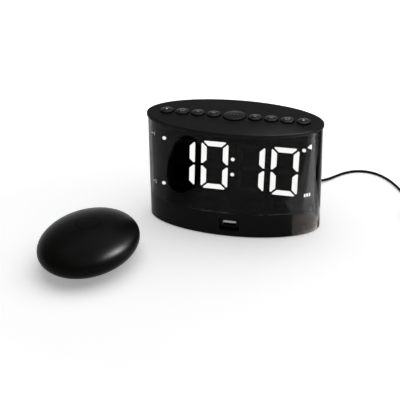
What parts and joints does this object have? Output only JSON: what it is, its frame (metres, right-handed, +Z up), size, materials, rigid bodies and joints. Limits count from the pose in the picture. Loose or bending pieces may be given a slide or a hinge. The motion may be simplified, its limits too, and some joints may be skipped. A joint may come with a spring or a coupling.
{
  "type": "bed shaker alarm clock",
  "caption": "Oval table alarm clock with a smoked front, bright digits, top buttons and a charging outlet, its mains lead and a cordless egg-shaped bed shaker.",
  "frame": {"origin": "on the table, under the middle of the clock's oval base", "axes": "+Z up, -Y towards the front of the clock, +X to the right as seen from the front"},
  "size_m": [0.3517, 0.2774, 0.0996],
  "materials": {
    "cover_plastic": "matte dark grey",
    "case_plastic": "satin black",
    "smoked_acrylic": "clear smoked gloss",
    "button_plastic": "satin dark grey",
    "pebble_plastic": "satin black soft-touch",
    "inner_plastic": "moulded black",
    "diffuser": "translucent white",
    "dark_diffuser": "tinted, unlit",
    "circuit_board": "green solder mask",
    "chip": "light-emitting chips",
    "flat_cable": "flat cable",
    "steel": "zinc-plated steel",
    "nickel": "bright nickel",
    "white_plastic": "white moulding",
    "copper": "bare wire",
    "rubber": "matte black",
    "silicone": "grey silicone",
    "paper_cone": "pressed paper",
    "ferrite": "sintered magnet",
    "cell_steel": "can of a cell",
    "brass_weight": "turned brass",
    "cord_jacket": "satin black sheath",
    "adapter_plastic": "satin black"
  },
  "bodies": {
    "clock": {"top_cover": "cover_plastic", "front_lens": "smoked_acrylic", "rear_housing": "case_plastic", "base_band": "case_plastic", "bottom_plate": "case_plastic", "foot_ring": "rubber", "case_screws": "steel", "board_screws": "steel", "door_screw": "steel", "battery_door": "case_plastic", "coin_cell": "cell_steel", "cell_holder": "inner_plastic", "display_mask": "inner_plastic", "lit_segments": "diffuser", "dark_segments": "dark_diffuser", "display_board": "circuit_board", "segment_leds": "chip", "key_board": "circuit_board", "key_mat": "silicone", "main_board": "circuit_board", "radio_board": "circuit_board", "antenna": "copper", "key_ribbon": "flat_cable", "display_ribbon": "flat_cable", "usb_shell": "nickel", "usb_tongue": "white_plastic", "dc_jack": "inner_plastic", "speaker_basket": "steel", "speaker_cone": "paper_cone", "speaker_magnet": "ferrite", "dc_plug": "cord_jacket", "power_cord": "cord_jacket", "cord_coil": "cord_jacket", "cord_tail": "cord_jacket", "cord_tie": "rubber", "adapter_case": "adapter_plastic", "adapter_pins": "nickel"},
    "left_key_1": {"left_button_1": "button_plastic"},
    "left_key_2": {"left_button_2": "button_plastic"},
    "left_key_3": {"left_button_3": "button_plastic"},
    "left_key_4": {"left_button_4": "button_plastic"},
    "right_key_1": {"right_button_1": "button_plastic"},
    "right_key_2": {"right_button_2": "button_plastic"},
    "right_key_3": {"right_button_3": "button_plastic"},
    "right_key_4": {"right_button_4": "button_plastic"},
    "snooze_key": {"snooze_button": "button_plastic"},
    "shaker": {"shaker_top_shell": "pebble_plastic", "shaker_bottom_shell": "pebble_plastic", "shaker_pad": "rubber", "shaker_screws": "steel", "shaker_key_board": "circuit_board", "shaker_dome": "silicone", "motor_cradle": "inner_plastic", "motor_can": "nickel", "shaker_board": "circuit_board", "shaker_cell": "cell_steel", "charge_socket": "nickel"},
    "shaker_key": {"shaker_button": "pebble_plastic"},
    "shaker_rotor": {"motor_shaft": "steel", "eccentric_weight": "brass_weight"}
  },
  "joints": [
    {"name": "left_press_1", "type": "slide", "parent": "clock", "child": "left_key_1", "axis": [0, 0, -1], "range_m": [0, 0.0008], "stiffness_N_per_m": 900, "deforming": ["key_mat"]},
    {"name": "left_press_2", "type": "slide", "parent": "clock", "child": "left_key_2", "axis": [0, 0, -1], "range_m": [0, 0.0008], "stiffness_N_per_m": 900, "deforming": ["key_mat"]},
    {"name": "left_press_3", "type": "slide", "parent": "clock", "child": "left_key_3", "axis": [0, 0, -1], "range_m": [0, 0.0008], "stiffness_N_per_m": 900, "deforming": ["key_mat"]},
    {"name": "left_press_4", "type": "slide", "parent": "clock", "child": "left_key_4", "axis": [0, 0, -1], "range_m": [0, 0.0008], "stiffness_N_per_m": 900, "deforming": ["key_mat"]},
    {"name": "right_press_1", "type": "slide", "parent": "clock", "child": "right_key_1", "axis": [0, 0, -1], "range_m": [0, 0.0008], "stiffness_N_per_m": 900, "deforming": ["key_mat"]},
    {"name": "right_press_2", "type": "slide", "parent": "clock", "child": "right_key_2", "axis": [0, 0, -1], "range_m": [0, 0.0008], "stiffness_N_per_m": 900, "deforming": ["key_mat"]},
    {"name": "right_press_3", "type": "slide", "parent": "clock", "child": "right_key_3", "axis": [0, 0, -1], "range_m": [0, 0.0008], "stiffness_N_per_m": 900, "deforming": ["key_mat"]},
    {"name": "right_press_4", "type": "slide", "parent": "clock", "child": "right_key_4", "axis": [0, 0, -1], "range_m": [0, 0.0008], "stiffness_N_per_m": 900, "deforming": ["key_mat"]},
    {"name": "snooze_press", "type": "slide", "parent": "clock", "child": "snooze_key", "axis": [0, 0, -1], "range_m": [0, 0.0008], "stiffness_N_per_m": 900, "deforming": ["key_mat"]},
    {"name": "shaker_lift", "type": "slide", "parent": "clock", "child": "shaker", "axis": [0, 0, 1], "range_m": [0, 0.15]},
    {"name": "shaker_press", "type": "slide", "parent": "shaker", "child": "shaker_key", "axis": [0, 0, -1], "range_m": [0, 0.0007], "stiffness_N_per_m": 900, "deforming": ["shaker_dome"]},
    {"name": "rotor_spin", "type": "hinge", "parent": "shaker", "child": "shaker_rotor", "pos_m": [-0.1019, -0.0996, 0.016], "axis": [0.1236, 0.9923, 0], "continuous": true}
  ]
}
